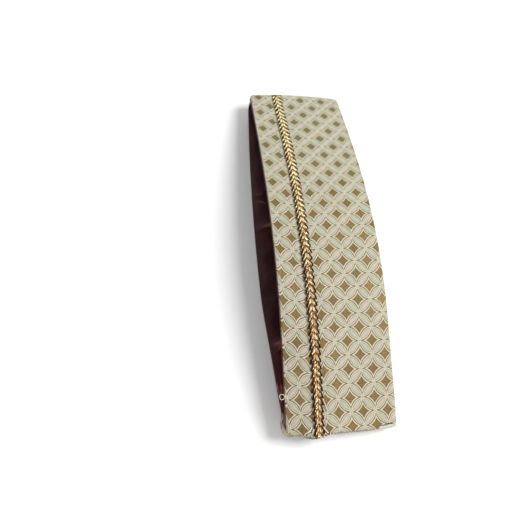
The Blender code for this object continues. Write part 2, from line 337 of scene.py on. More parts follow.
class Pile:
    """Many small bodies that are joined into one mesh, each with thread coordinates."""

    def __init__(self):
        self.points, self.faces, self.thread, self.run, self.count = [], [], [], [], 0

    def strand(self, path, up, widths, heights, sides=6, place=0.0, tone=0.0):
        """A thread along a path: width lies across the path, height along its up vectors."""
        way = unit(np.gradient(path, axis=0))
        across = unit(np.cross(way, up))
        lifted = np.cross(across, way)
        around = 2.0 * np.pi * np.arange(sides) / sides - 0.5 * np.pi
        widths = np.broadcast_to(widths, len(path))[:, None, None]
        heights = np.broadcast_to(heights, len(path))[:, None, None]
        ring = (path[:, None] + across[:, None] * np.cos(around)[None, :, None] * 0.5 * widths
                + lifted[:, None] * np.sin(around)[None, :, None] * 0.5 * heights)
        index = np.arange(len(path) * sides).reshape(-1, sides) + self.count
        quads = grid_faces(np.concatenate([index, index[:, :1]], axis=1)).tolist()
        self.faces += quads + [index[0, ::-1].tolist(), index[-1].tolist()]
        length = arc_length(path)[:, None]
        serial = (len(self.points) * GOLDEN_SHARE) % 1.0
        thread = np.broadcast_arrays(length, np.arange(sides) / sides, serial)
        run = np.broadcast_arrays(length / length[-1], np.full((1, sides), tone), place)
        self.points.append(ring.reshape(-1, 3))
        self.thread.append(np.stack(thread, -1).reshape(-1, 3))
        self.run.append(np.stack(run, -1).reshape(-1, 3))
        self.count += ring.size // 3

    def build(self, name, material):
        points = np.concatenate(self.points)
        layers = {"thread": np.concatenate(self.thread), "run": np.concatenate(self.run)}
        return new_object(name, points, self.faces, material, layers)


def smooth_path(points, steps):
    """A Catmull-Rom curve through points, with a number of steps for each stretch."""
    points = np.asarray(points, float)
    padded = np.concatenate([[2 * points[0] - points[1]], points, [2 * points[-1] - points[-2]]])
    share = np.linspace(0.0, 1.0, steps, endpoint=False)[:, None]
    parts = []
    for a, b, c, d in zip(padded, padded[1:], padded[2:], padded[3:]):
        parts.append(0.5 * (2 * b + (c - a) * share + (2 * a - 5 * b + 4 * c - d) * share ** 2
                            + (3 * b - a - 3 * c + d) * share ** 3))
    return np.concatenate(parts + [points[-1:]])


# Materials

class Signal:
    """A node's output; sums, differences, products and quotients of it are nodes too."""

    def __init__(self, make, socket):
        self.make = make
        self.socket = socket

    def __add__(self, other):
        return self.make.math("ADD", self, other)

    def __sub__(self, other):
        return self.make.math("SUBTRACT", self, other)

    def __rsub__(self, other):
        return self.make.math("SUBTRACT", other, self)

    def __mul__(self, other):
        return self.make.math("MULTIPLY", self, other)

    def __truediv__(self, other):
        return self.make.math("DIVIDE", self, other)


class Nodes:
    """Short names for building a node material."""

    def __init__(self, name):
        self.material = bpy.data.materials.new(name)
        self.material.use_nodes = True
        self.tree = self.material.node_tree
        self.shader = self.tree.nodes["Principled BSDF"]

    def fill(self, socket, value):
        if isinstance(value, Signal):
            self.tree.links.new(value.socket, socket)
        else:
            socket.default_value = value

    def node(self, kind, settings=None, **values):
        made = self.tree.nodes.new("ShaderNode" + kind)
        for setting, value in (settings or {}).items():
            setattr(made, setting, value)
        for socket, value in values.items():
            self.fill(made.inputs[socket], value)
        return made

    def output(self, socket, kind, settings=None, **values):
        """One output of a new node."""
        return Signal(self, self.node(kind, settings, **values).outputs[socket])

    def math(self, operation, *values):
        made = self.node("Math", {"operation": operation})
        for socket, value in zip(made.inputs, values):
            self.fill(socket, value)
        return Signal(self, made.outputs[0])

    def wave(self, value, period):
        return self.math("SINE", value * (2.0 * math.pi / period))

    def layer(self, name):
        """Three numbers of a mesh layer."""
        source = self.output("Vector", "Attribute", {"attribute_name": name})
        split = self.node("SeparateXYZ", Vector=source)
        return [Signal(self, split.outputs[axis]) for axis in "XYZ"]

    def vector(self, x, y, z=0.0):
        return self.output(0, "CombineXYZ", X=x, Y=y, Z=z)

    def noise(self, vector, scale, detail=2.0, roughness=0.5):
        return self.output("Fac", "TexNoise", Vector=vector, Scale=scale, Detail=detail, Roughness=roughness)

    def hash(self, vector):
        return self.output("Value", "TexWhiteNoise", {"noise_dimensions": "3D"}, Vector=vector)

    def ramp(self, value, *stops):
        """A colour for each place between stops of (place, colour)."""
        made = self.node("ValToRGB", Fac=value)
        elements = made.color_ramp.elements
        while len(elements) < len(stops):
            elements.new(0.5)
        for element, (position, colour) in zip(elements, stops):
            element.position = position
            element.color = colour
        return Signal(self, made.outputs["Color"])

    def mix(self, factor, first, second, blend="MIX"):
        made = self.node("Mix", {"data_type": "RGBA", "blend_type": blend})
        for position, value in ((0, factor), (6, first), (7, second)):
            self.fill(made.inputs[position], value)
        return Signal(self, made.outputs[2])

    def range(self, value, low, high, to_low=0.0, to_high=1.0, kind="SMOOTHSTEP"):
        made = self.node("MapRange", {"interpolation_type": kind}, Value=value)
        limits = {"From Min": low, "From Max": high, "To Min": to_low, "To Max": to_high}
        for socket, number in limits.items():
            made.inputs[socket].default_value = number
        return Signal(self, made.outputs["Result"])

    def ply(self, length, around, twist):
        """Wave of a thread's two plies, which turn round it once in a twist."""
        return self.wave(length / twist + around * 2.0, 1.0)

    def fibres(self, length, around, serial, stretch, scale, detail):
        """Noise that is drawn out along a thread: stretch is its scale along and around it."""
        place = self.vector(length * stretch[0], around * stretch[1], serial * FIBRE_SHIFT)
        return self.noise(place, scale, detail)

    def finish(self, colour, roughness, height_mm, metallic=0.0, **constants):
        """The material, with a bump from a height in millimetres."""
        bump = self.node("Bump", Height=height_mm)
        bump.inputs["Distance"].default_value = MM
        bump.inputs["Strength"].default_value = 1.0
        self.fill(self.shader.inputs["Base Color"], colour)
        self.fill(self.shader.inputs["Roughness"], roughness)
        self.fill(self.shader.inputs["Metallic"], metallic)
        self.fill(self.shader.inputs["Normal"], Signal(self, bump.outputs["Normal"]))
        for socket, value in constants.items():
            self.shader.inputs[socket.replace("_", " ")].default_value = value
        return self.material


FIBRE_SHIFT = 61.0            # sets the fibres of one strand apart from those of the next


# Stops of the brocade's colours over the signed distance to the nearest arc; the dark stops about 0 paint the
# outline thread together with painted shade in its sunk groove
ARC_LOW = -0.30
ARC_HIGH = 0.42
ARC_COLOURS = [
    (-0.300, srgb(187, 184, 168)),
    (-0.160, srgb(188, 184, 168)),
    (-0.138, srgb(146, 142, 126)),
    (-0.108, srgb(150, 145, 129)),
    (-0.084, srgb(208, 203, 186)),
    (-0.045, srgb(210, 204, 186)),
    (-0.022, srgb(110, 102, 84)),
    (0.002, srgb(80, 72, 54)),
    (0.024, srgb(88, 79, 58)),
    (0.044, srgb(198, 190, 168)),
    (0.062, srgb(214, 206, 184)),
    (0.112, srgb(204, 194, 166)),
    (0.140, srgb(142, 122, 84)),
    (0.165, srgb(120, 99, 61)),
    (0.420, srgb(132, 107, 65)),
]


WARP_PITCH = 0.55
WEFT_PITCH = 0.42
THREAD_SWAY = 0.07            # how far the figure's threads sit off their places
DIAMOND_EDGE = (0.130, 0.160)             # distances over which a diamond's colour and gloss set in
PETAL_EDGE = (-0.085, -0.115)
GROOVE = (0.018, 0.035, 0.10)             # place, half width and depth of the outline's groove
CORD = (0.088, 0.040, 0.06)               # place, half width and height of the cord round a diamond
WEAVE_HEIGHT = 0.022
FLOAT_HEIGHT = 0.07


def brocade_material(name):
    """Pale satin petals between grey outlines, round gold-brown diamonds."""
    make = Nodes(name)
    column, row, plain = make.layer("cloth")
    place = make.vector(column * ACROSS_PITCH, row * ALONG_PITCH)
    sway = make.noise(place, 0.9) - 0.5
    jog = make.noise(place, 3.1, 1.0) - 0.5
    a = make.math("PINGPONG", column + sway * THREAD_SWAY, 1.0)
    b = make.math("PINGPONG", row + jog * THREAD_SWAY, 1.0)
    flip = make.math("GREATER_THAN", a + b, 1.0)
    a = make.math("ABSOLUTE", a - flip)
    b = make.math("ABSOLUTE", b - flip)
    farther = make.math("MAXIMUM", a, b)
    nearer = make.math("MINIMUM", a, b)
    tip = make.range(farther, 0.16, 0.42)
    # The outlines fade out where four petals meet, sooner above and below than beside
    upright = make.math("GREATER_THAN", b, a)
    past = 1.0 - farther
    to_crossing = make.math("SQRT", past * past + nearer * nearer) - upright * 0.12
    meeting = make.range(to_crossing, 0.05, 0.27, 0.85, 0.0)
    a = 1.0 - a
    b = 1.0 - b
    distance = make.math("SQRT", a * a + b * b) - 1.0
    stops = [((at - ARC_LOW) / (ARC_HIGH - ARC_LOW), colour) for at, colour in ARC_COLOURS]
    colour = make.ramp(make.range(distance, ARC_LOW, ARC_HIGH, kind="LINEAR"), *stops)
    colour = make.mix(meeting, colour, srgb(198, 192, 172))
    core = make.range(distance, *DIAMOND_EDGE)
    petal = make.range(distance, *PETAL_EDGE)
    # Each diamond is a little browner or greener than the next, and greener in its tips; the glint noise
    # paints small highlights among its woven spots
    cell = make.vector(make.math("ROUND", column + row), make.math("ROUND", column - row), 0.5)
    glint = make.noise(make.vector(column * 7.0, row * 12.0), 1.0, 3.0, 0.7)
    own = make.ramp(make.hash(cell) * 0.12 + glint,
                    (0.42, srgb(88, 78, 38)), (0.54, srgb(118, 99, 54)),
                    (0.63, srgb(130, 105, 60)), (0.74, srgb(170, 140, 92)))
    own = make.mix(tip, own, srgb(102, 92, 54))
    own = make.mix(make.range(row, 13.0, 24.0, 0.0, 0.8), own, srgb(114, 109, 74))
    colour = make.mix(core * 0.85, colour, own)
    # Petals of the two directions catch the light differently
    lean = make.wave(column, 2.0) * make.wave(row, 2.0)
    tint = make.ramp(make.range(lean, -0.25, 0.25), (0.0, srgb(255, 253, 251)), (1.0, srgb(247, 250, 245)))
    colour = make.mix(1.0, colour, tint, "MULTIPLY")
    # The satin shifts between a greenish and a pinkish cast, greener towards the far end
    cast = make.noise(place, 0.16, 3.0) + row * 0.006
    cast = make.ramp(make.range(cast, 0.40, 0.80),
                     (0.0, srgb(255, 248, 243)), (0.5, srgb(252, 252, 246)), (1.0, srgb(247, 252, 252)))
    colour = make.mix(1.0, colour, cast, "MULTIPLY")
    warp = make.wave(column, WARP_PITCH / ACROSS_PITCH)
    weft = make.wave(row, WEFT_PITCH / ALONG_PITCH)
    thread = warp * 0.45 + weft * 0.55
    # Floats run along each petal
    leaning = make.math("SIGN", lean)
    across_petal = (column - leaning * row) * 1.6
    along_petal = (column + leaning * row) * 10.0
    streak = make.noise(make.vector(across_petal, along_petal), 1.0, 3.0)
    blotch = make.noise(place, 0.035, 2.0)
    shade = thread * 0.05 + (streak - 0.5) * 0.60 + (blotch - 0.5) * 0.12
    # Painted shade: the brocade darkens towards the near end and lightens a little at the far end
    shade = shade + make.range(row, 8.0, 25.0, -0.08, 0.02)
    # Painted shade at the near end beside the mouth edge
    near_mouth_painted_shade = make.range(row, 2.0, 11.0, 1.0, 0.0) * make.range(column, -4.0, 0.5, 1.0, 0.0)
    light = shade - near_mouth_painted_shade * 0.12 + 1.0
    grey_light = make.output(0, "CombineColor", Red=light, Green=light, Blue=light)
    colour = make.mix(1.0, colour, grey_light, "MULTIPLY")
    colour = make.mix(plain, colour, srgb(192, 190, 172))
    roughness = 0.62 - (core * 0.12 + petal * 0.08)
    groove, cord = [make.range(make.math("ABSOLUTE", distance - at), 0.0, half, 1.0, 0.0) * size
                    for at, half, size in (GROOVE, CORD)]
    height = thread * WEAVE_HEIGHT + (cord - groove) * (1.0 - plain) + streak * FLOAT_HEIGHT
    return make.finish(colour, roughness, height, core * 0.20,
                       Sheen_Weight=0.10, Sheen_Roughness=0.4, Specular_IOR_Level=0.4)


SATIN_WARP_PITCH = 0.36
SATIN_WEFT_PITCH = 0.50


def lining_material(name):
    """Dark maroon satin, closely woven and softly glossy."""
    make = Nodes(name)
    across, lengthways, painted_fold_highlight = make.layer("cloth")
    place = make.vector(across, lengthways)
    blotch = make.noise(place, 0.05, 3.0)
    colour = make.ramp(blotch, (0.25, srgb(54, 14, 20)), (0.55, srgb(66, 18, 26)), (0.80, srgb(86, 26, 32)))
    warp = make.wave(across, SATIN_WARP_PITCH)
    weft = make.wave(lengthways, SATIN_WEFT_PITCH)
    slub = make.noise(make.vector(across * 3.0, lengthways * 0.25), 1.0)
    colour = make.mix(slub * 0.35, colour, srgb(40, 8, 12))
    warm = make.range(lengthways, 8.0, 95.0, 0.80, 0.0)
    colour = make.mix(warm, colour, srgb(88, 24, 20))
    # Painted highlights on the tops of the wrinkles and folds
    colour = make.mix(make.range(painted_fold_highlight, 0.1, 0.9), colour, srgb(172, 104, 84))
    height = warp * 0.010 + weft * 0.006 + slub * 0.05 + make.noise(place, 0.35, 3.0) * 0.25
    roughness = make.range(blotch, 0.3, 0.7, 0.30, 0.44)
    return make.finish(colour, roughness, height, Sheen_Weight=0.03, Sheen_Roughness=0.35,
                       Specular_IOR_Level=0.4)


def thread_material(name, colours, roughness, twist, relief, specular=0.4):
    """Twisted thread; colours are those of its grooves, painted as in shade, its body, and its tops, painted
    as lit.
    """
    make = Nodes(name)
    length, around, serial = make.layer("thread")
    ply = make.ply(length, around, twist)
    grain = make.fibres(length, around, serial, (1.6, 5.0), 1.4, 3.0)
    # The ply wave paints shade into the grooves between the plies and highlights onto their tops
    level = ply * 0.22 + grain + (serial - 0.5) * 0.20
    colour = make.ramp(level, *zip((0.22, 0.50, 0.82), colours))
    height = ply * relief + grain * relief
    rough = make.range(grain, 0.3, 0.7, roughness, roughness + 0.10)
    return make.finish(colour, rough, height, Specular_IOR_Level=specular)


def plait_material(name):
    """Metallic gold thread, with painted highlights where a strand crests and painted shade down its flanks
    and under its neighbours.
    """
    make = Nodes(name)
    length, around, serial = make.layer("thread")
    share, tone, along_lace = make.layer("run")
    # Painted highlights along the top of each strand and at the middle of its length
    crown = make.range(make.wave(around, 2.0), 0.60, 1.0)
    painted_crest_highlight = make.range(make.math("ABSOLUTE", share - 0.50), 0.05, 0.40, 1.0, 0.0)
    ply = make.ply(length, around, 0.62)
    grain = make.fibres(length, around, serial, (1.3, 4.0), 1.3, 2.0)
    level = crown * 0.30 + painted_crest_highlight * 0.36 + (grain - 0.5) * 1.35 + ply * 0.08 + tone
    level = level + (serial - 0.5) * 0.26 + make.range(along_lace, 0.45, 0.95, -0.08, 0.03)
    reddish = make.ramp(level, (0.22, srgb(40, 20, 2)), (0.42, srgb(118, 82, 34)),
                        (0.62, srgb(202, 154, 94)), (0.80, srgb(255, 240, 202)))
    yellow = make.ramp(level, (0.20, srgb(62, 46, 8)), (0.42, srgb(150, 120, 52)),
                       (0.62, srgb(216, 188, 108)), (0.80, srgb(255, 252, 206)))
    own = (make.hash(make.vector(serial, 0.37)) - 0.5) * 0.5
    hue = own + make.range(along_lace, 0.30, 1.0, 0.1, 0.95)
    hue = make.math("MINIMUM", make.math("MAXIMUM", hue, 0.0), 1.0)
    colour = make.mix(hue, reddish, yellow)
    rough = make.range(grain, 0.3, 0.7, 0.24, 0.42)
    return make.finish(colour, rough, ply * 0.05 + grain * 0.10, 0.40, Specular_IOR_Level=0.5)


def rolled_hem_material(name):
    """Brocade seen along a tight roll: long streaks of brown, pinkish beige and cream, with near-black
    streaks and greyed cream edges that are painted shade in the gaps between its folds.
    """
    make = Nodes(name)
    around, lengthways, pale = make.layer("cloth")
    streak = make.noise(make.vector(around * 0.62, lengthways * 0.07), 1.0, 2.0)
    colour = make.ramp(streak, (0.41, srgb(30, 12, 8)), (0.45, srgb(216, 196, 172)),
                       (0.52, srgb(206, 186, 160)), (0.55, srgb(40, 20, 12)),
                       (0.60, srgb(52, 30, 20)), (0.64, srgb(190, 170, 144)))
    cream = make.ramp(streak, (0.40, srgb(84, 80, 60)), (0.46, srgb(190, 184, 158)),
                      (0.54, srgb(222, 214, 188)), (0.62, srgb(104, 100, 78)))
    colour = make.mix(pale, colour, cream)
    height = streak * 0.5 + make.wave(lengthways, 0.6) * 0.015
    return make.finish(colour, 0.6, height, Sheen_Weight=0.08, Sheen_Roughness=0.4)


def tape_material(name):
    """Woven tape that shows between the plaited threads; its dark brown is partly painted shade in the gaps
    between them.
    """
    make = Nodes(name)
    across, lengthways, _ = make.layer("cloth")
    level = make.wave(lengthways, 0.8) * make.wave(across, 0.5) * 0.3 + 0.5
    colour = make.ramp(level, (0.2, srgb(40, 22, 10)), (0.8, srgb(96, 62, 30)))
    return make.finish(colour, 0.6, level * 0.08, 0.2)


brocade = brocade_material("woven_brocade")
satin = lining_material("maroon_satin")
gold = plait_material("gold_thread")
rolled_hem = rolled_hem_material("rolled_hem")
dark = thread_material("dark_thread", (srgb(4, 2, 0), srgb(28, 13, 2), srgb(92, 54, 20)),
                       0.7, 0.8, 0.04, 0.05)
grey = thread_material("grey_thread", (srgb(96, 90, 76), srgb(146, 140, 122), srgb(196, 190, 170)),
                       0.7, 0.8, 0.03)
pale = thread_material("pale_thread", (srgb(150, 140, 120), srgb(206, 199, 180), srgb(244, 238, 222)),
                       0.55, 0.8, 0.03)
blush = thread_material("blush_thread", (srgb(164, 142, 124), srgb(218, 202, 186), srgb(246, 236, 222)),
                        0.5, 0.7, 0.03)
tape_cloth = tape_material("lace_tape")


# Pieces

def steps_between(start, end, step, close):
    """Places from start to end: close ones at both ends and even ones between them."""
    count = max(int(round((end - start - 2 * close[-1]) / step)), 2)
    middle = np.linspace(start + close[-1], end - close[-1], count + 1)
    return np.concatenate([start + np.array(close[:-1]), middle, end - np.array(close[-2::-1])])


CLOSE = [0.0, 0.12, 0.4, 0.9, 1.7]       # close places beside an edge


def panel_grid(side, step):
    """t and u of a panel's points, which close up at its edges."""
    lengths = steps_between(-NEAR_LENGTH, FAR_LENGTH, step, CLOSE)
    t = length_share(lengths)[:, None]
    width = panel_width(side, t)
    shares = steps_between(0.0, 2.0 * HALF_WIDTH, step, CLOSE) / (2.0 * HALF_WIDTH)
    return t + 0.0 * shares[None, :], shares[None, :] * width


def panel_cloth(side, t, u):
    """Lattice column and row of places on a side panel."""
    across = u / HALF_WIDTH - 1.0
    rows = NEAR_ROW + arc_length(outer_point(side, t, u)) / ALONG_PITCH
    rows = rows + ROW_SWELL * np.sin(np.pi * t) + ROW_SKEW * across
    columns = MOUTH_COLUMN - COLUMN_DRIFT * t + u / ACROSS_PITCH - COLUMN_SKEW * across * (1.0 + t)
    columns = columns + sum(shift * t ** power for power, shift in enumerate(COLUMN_WANDER))
    return np.stack([columns, rows, np.zeros_like(rows)], -1)


PLAIN_START = 66.5            # the turned edge shows plain at the near crown corner from here on
PLAIN_DEPTH = 2.3             # and this far up from the end
PUCKER_HEIGHT = 0.16          # the cloth draws in beside the lace
PUCKER_SPREAD = 1.3
PUCKER_FROM_LACE = 0.4
PUCKER_PITCH = 4.8


def brocade_panel(name, side):
    """A side panel: padded figure, turned edges, and small puckers where the lace is sewn on."""
    t, u = panel_grid(side, CLOTH_STEP)
    width = panel_width(side, t)
    cloth = panel_cloth(side, t, u)
    up_end = (1.0 + t) * NEAR_LENGTH
    cloth[..., 2] = smooth_step((u - PLAIN_START) / 1.2) * smooth_step((PLAIN_DEPTH - up_end) / 0.5)
    length = (cloth[..., 1] - NEAR_ROW) * ALONG_PITCH
    hem = smooth_step((END_HEM + 0.5 * HEM_STEP - from_end(t)) / HEM_STEP)
    hem = np.maximum(hem, smooth_step((u - width + CROWN_HEM + 0.5 * HEM_STEP) / HEM_STEP))
    thickness = BROCADE + (TURNED_EDGE - BROCADE) * hem
    squeeze = np.maximum.reduce([edge_squeeze(d, thickness) for d in (u, width - u, from_end(t))])
    inner = smooth_step(np.minimum.reduce([u, width - u, from_end(t)]) / 1.6)
    to_lace = np.abs(u - LACE_FROM_MOUTH) - 0.5 * LACE_WIDTH - PUCKER_FROM_LACE
    beside_lace = np.exp(-(to_lace / PUCKER_SPREAD) ** 2)
    pucker = PUCKER_HEIGHT * beside_lace * (1.0 + 0.5 * np.sin(2.0 * np.pi * length / PUCKER_PITCH))
    slack = 0.18 * np.sin(length / 17.0 + u / 23.0) * np.sin(u / 13.0 + 0.7)
    slack = slack + 0.10 * np.sin(length / 7.3 - u / 9.0)
    relief = weave_relief(cloth[..., 0], cloth[..., 1])
    seat = seat_depth(side, t, u)
    face = at_depth(side, t, u, seat + squeeze + inner * (pucker + slack - relief + RELIEF_MIDDLE))
    back = at_depth(side, t, u, seat + thickness - squeeze)
    face[..., 2] = np.maximum(face[..., 2], FACE_CLEAR)
    return sheet_object(name, face, back, cloth, brocade)


def place_piece(piece, slot, *nodes):
    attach(piece, "root")
    if nodes:
        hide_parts(*nodes)
    return piece


# Wrinkles of the lower lining along its mouth: place from the near end, start and end across it,
# slant of its line, height and width
WRINKLE_COLUMNS = ("along", "start", "end", "slant", "height", "width")
LOWER_WRINKLES = [
    (193.0, 0.5, 13.0, 0.25, 0.9, 2.0),
    (189.0, 3.0, 16.0, -0.45, 0.6, 1.6),
    (162.5, 1.0, 18.0, 0.35, 1.0, 2.4),
    (158.0, 4.0, 14.0, -0.30, 0.5, 1.8),
    (128.0, 2.0, 12.0, 0.50, 0.4, 2.2),
    (103.0, 1.0, 14.0, -0.20, 0.7, 2.0),
    (66.0, 0.5, 12.0, 0.45, 1.0, 2.2),
    (61.0, 2.0, 15.0, 0.80, 0.7, 1.8),
    (44.0, 1.0, 10.0, -0.50, 0.5, 1.8),
]
NEAR_FOLDS_LENGTH = 56.0      # the lining gathers in lengthways folds this far from the near corner
NEAR_FOLD_PITCH = 2.3
NEAR_FOLD_HEIGHT = 1.05


def lining_wrinkles(side, length, u, total):
    """Height of a side lining's wrinkles over its panel."""
    height = 0.35 + 0.30 * np.sin(length / 9.0 + 1.7 * np.sin(u / 11.0) + side)
    height += 0.22 * np.sin(length / 4.1 - u / 5.3 + 1.3 * np.sin(length / 23.0))
    height *= smooth_step(u / 5.0)
    if side == LOWER:
        for fold in named_rows(WRINKLE_COLUMNS, LOWER_WRINKLES):
            line = length - fold["along"] - fold["slant"] * (u - fold["start"])
            inside = smooth_step((u - fold["start"]) / 2.0) * smooth_step((fold["end"] - u) / 5.0)
            height = height + fold["height"] * inside * np.exp(-(line / fold["width"]) ** 2)
    near = smooth_step(2.4 - 2.4 * length / NEAR_FOLDS_LENGTH)
    across = u + 0.07 * length + 0.3 * np.sin(length / 5.0)
    gathered = NEAR_FOLD_HEIGHT * (0.5 + 0.5 * np.sin(2.0 * np.pi * across / NEAR_FOLD_PITCH))
    height = height * (1.0 - near) + gathered * near
    return height * smooth_step((total - length - 1.0) / 9.0) * smooth_step((length - 1.5) / 8.0)


# The lining's turn round the mouth edge: places across the edge and depths
ROLL_STEPS = [(-0.10, 0.25), (-0.28, 0.55), (-0.36, 1.0), (-0.34, 1.5), (-0.15, 1.9)]
LINING_END = 1.0              # the lining stops this far from the ends of the cap
HEM_SLOPE = 3.0               # stretch over which it climbs onto the turned edge
LINING_START = 0.3            # place across the mouth edge where its flat part starts
LINING_END_THICKNESS = 0.14
LINING_THICKENING = 0.11      # how fast it thickens away from the ends


def side_lining(name, side):
    """A side lining, turned round the mouth edge so that it covers the brocade's thin edge."""
    start = LINING_END
    lengths = steps_between(start - NEAR_LENGTH, FAR_LENGTH - start, LINING_STEP, CLOSE[:3])
    t = length_share(lengths)[:, None]
    end = panel_width(side, t) - CROWN_HEM - HEM_STEP - GAP
    shares = steps_between(0.0, 1.0, LINING_STEP / (2.0 * HALF_WIDTH), [0.0, 0.004, 0.012])[None, :]
    u = LINING_START + (end - LINING_START) * shares
    t = t + 0.0 * u
    length = arc_length(at_depth(side, t, u, 0.0)) + start
    over_hem = smooth_step((END_HEM + HEM_SLOPE - from_end(t)) / HEM_SLOPE)
    cloth_depth = BROCADE + (TURNED_EDGE - BROCADE) * over_hem + 0.5 * GAP
    layer = np.minimum(LINING, LINING_END_THICKNESS + LINING_THICKENING * from_end(t))
    wrinkles = lining_wrinkles(side, length, u, length[-1] + start)
    squeeze = 0.45 * edge_squeeze(np.minimum(from_end(t) - start, end - u), LINING) * layer / LINING
    bottom = seat_depth(side, t, u) + cloth_depth
    back = at_depth(side, t, u, bottom + 0.5 * squeeze)
    face = at_depth(side, t, u, bottom + layer - squeeze + wrinkles)
    # Painted highlights where the wrinkles and the gathered near folds rise highest
    near_painted_fold_highlight = 0.8 * smooth_step((wrinkles - 0.60) / 0.35) * (length < NEAR_FOLDS_LENGTH)
    painted_fold_highlight = np.clip(wrinkles - 0.9, 0.0, 1.0) + near_painted_fold_highlight
    cloth = np.stack([u, length, painted_fold_highlight], -1)
    turn_face, turn_back, turn_cloth = [], [], []
    edge_t = t[:, 0]
    swollen = 1.0 + over_hem[:, 0] * (TURNED_EDGE / BROCADE - 1.0)
    for offset, depth in ROLL_STEPS:
        turn_face.append(at_depth(side, edge_t, offset, depth * swollen))
        inside = (max(depth, 0.3) - 0.05) * swollen
        turn_back.append(at_depth(side, edge_t, min(offset + 0.30, 0.12), inside))
        turn_cloth.append(np.stack([offset - 2.4 + depth + 0.0 * edge_t, length[:, 0], 0.0 * edge_t], -1))
    face = np.concatenate([np.stack(turn_face, 1), face], axis=1)
    back = np.concatenate([np.stack(turn_back, 1), back], axis=1)
    cloth = np.concatenate([np.stack(turn_cloth, 1), cloth], axis=1)
    return sheet_object(name, face, back, cloth, satin)


def gusset_corners(t):
    """Upper seam, fold and lower seam of the gusset at mid thickness, in one section."""
    depth = TURNED_EDGE + GAP + 0.5 * BROCADE
    seams = []
    for side in (UPPER, LOWER):
        seam = at_depth(side, t, panel_width(side, t) - SEAM_SETBACK, depth)
        seam[1] = along(t)
        seams.append(seam)
    span = seams[1] - seams[0]
    arm = GUSSET_ARM * (1.0 - t * t)
    reach = math.sqrt(arm ** 2 - 0.25 * span @ span)
    square = unit(np.array([span[2], 0.0, -span[0]]))
    towards = unit((1.0 - GUSSET_LEVEL) * square + GUSSET_LEVEL * np.array([-1.0, 0.0, 0.0]))
    return seams[0], 0.5 * (seams[0] + seams[1]) + towards * reach, seams[1]


def seam_opening(t):
    """Sine of the smaller of the two angles between the gusset's arms and the side panels."""
    upper_seam, fold, lower_seam = gusset_corners(t)
    sines = []
    for side, seam in ((UPPER, upper_seam), (LOWER, lower_seam)):
        mouth_x, mouth_z, crown_x, crown_z = section_edges(side, t)
        panel = Vector((mouth_x - crown_x, 0.0, mouth_z - crown_z)).normalized()
        sines.append(panel.cross(Vector(fold - seam).normalized()).length)
    return min(sines)


ARM_POINTS = 26
FOLD_POINTS = 8
ARM_SAG = 0.7                 # how far the middle of each arm bows off its straight line
ARM_BOWS = (1.0, -0.6)        # share and direction of that for the upper and the lower arm


def folded_section(t, offset, setback):
    """Points, outward normals and distances from the fold of a sheet folded like the gusset."""
    upper_seam, fold, lower_seam = gusset_corners(t)
    ways = [unit(seam - fold) for seam in (upper_seam, lower_seam)]
    half = 0.5 * math.acos(float(np.clip(ways[0] @ ways[1], -1.0, 1.0)))
    centre = fold + unit(ways[0] + ways[1]) * (FOLD_RADIUS / math.sin(half))
    outs = [np.array([-ways[0][2], 0.0, ways[0][0]]), np.array([ways[1][2], 0.0, -ways[1][0]])]
    share = np.linspace(0.0, 1.0, ARM_POINTS)
    arms, distances = [], []
    for seam, way, out, bow_share in zip((upper_seam, lower_seam), ways, outs, ARM_BOWS):
        start = seam - way * setback
        finish = centre + out * FOLD_RADIUS
        bow = ARM_SAG * np.sin(np.pi * share) * (1.0 - abs(t)) * bow_share
        arms.append(start + (finish - start) * share[:, None] + out * (bow + offset)[:, None])
        distances.append(np.linalg.norm(start - finish) * (1.0 - share))
    angle = (2.0 * half - math.pi) * np.arange(1, FOLD_POINTS) / FOLD_POINTS
    cosine, sine = np.cos(angle), np.sin(angle)
    turned = np.stack([outs[0][0] * cosine + outs[0][2] * sine, 0.0 * angle,
                       outs[0][2] * cosine - outs[0][0] * sine], -1)
    points = np.concatenate([arms[0], centre + turned * (FOLD_RADIUS + offset), arms[1][::-1]])
    normals = np.concatenate([[outs[0]] * ARM_POINTS, turned, [outs[1]] * ARM_POINTS])
    return points, normals, np.concatenate([distances[0], 0.0 * angle, -distances[1][::-1]])


def folded_sheet(end_share, offset, setback, step):
    """Grids of points, normals, distances from the fold and places along the cap."""
    lengths = steps_between(-end_share * NEAR_LENGTH, end_share * FAR_LENGTH, step, CLOSE[:3])
    parts = [folded_section(t, offset, setback(t)) for t in length_share(lengths)]
    points, normals, distances = (np.stack(kind) for kind in zip(*parts))
    return points, normals, distances, lengths[:, None] + 0.0 * distances


SEAM_PULL = 0.65              # the gusset's seam edges are drawn this far onto the panels' turned edges


def crown_gusset(name):
    points, normals, distance, length = folded_sheet(GUSSET_END_SHARE, 0.0, lambda t: 0.0, GUSSET_STEP)
    from_seam = np.abs(distance).max(axis=1, keepdims=True) - np.abs(distance)
    points[..., 2] += SEAM_PULL * np.sign(distance) * smooth_step(1.0 - 0.5 * from_seam)
    cloth = np.stack([distance / ACROSS_PITCH + 1.0, length / ALONG_PITCH, 0.0 * length], -1)
    relief = weave_relief(cloth[..., 0], cloth[..., 1])[..., None]
    bunch = 0.25 * np.sin(length / 3.1 + distance / 9.0) * smooth_step(np.abs(length) / 100.0 - 0.4)
    outer = points - normals * (0.5 * BROCADE + relief - GUSSET_RELIEF_MIDDLE)
    inner = points + normals * 0.5 * BROCADE
    shift = normals * bunch[..., None] * 0.4
    return sheet_object(name, outer + shift, inner + shift, cloth, brocade)


CROWN_LINING_OFFSET = 0.5 * BROCADE + GAP + 0.5 * LINING


def crown_lining_setback(t):
    """How far the crown lining's edges stay from the gusset's seams."""
    return (CROWN_LINING_OFFSET + 0.5 * LINING + 2.0 * GAP) / seam_opening(t)


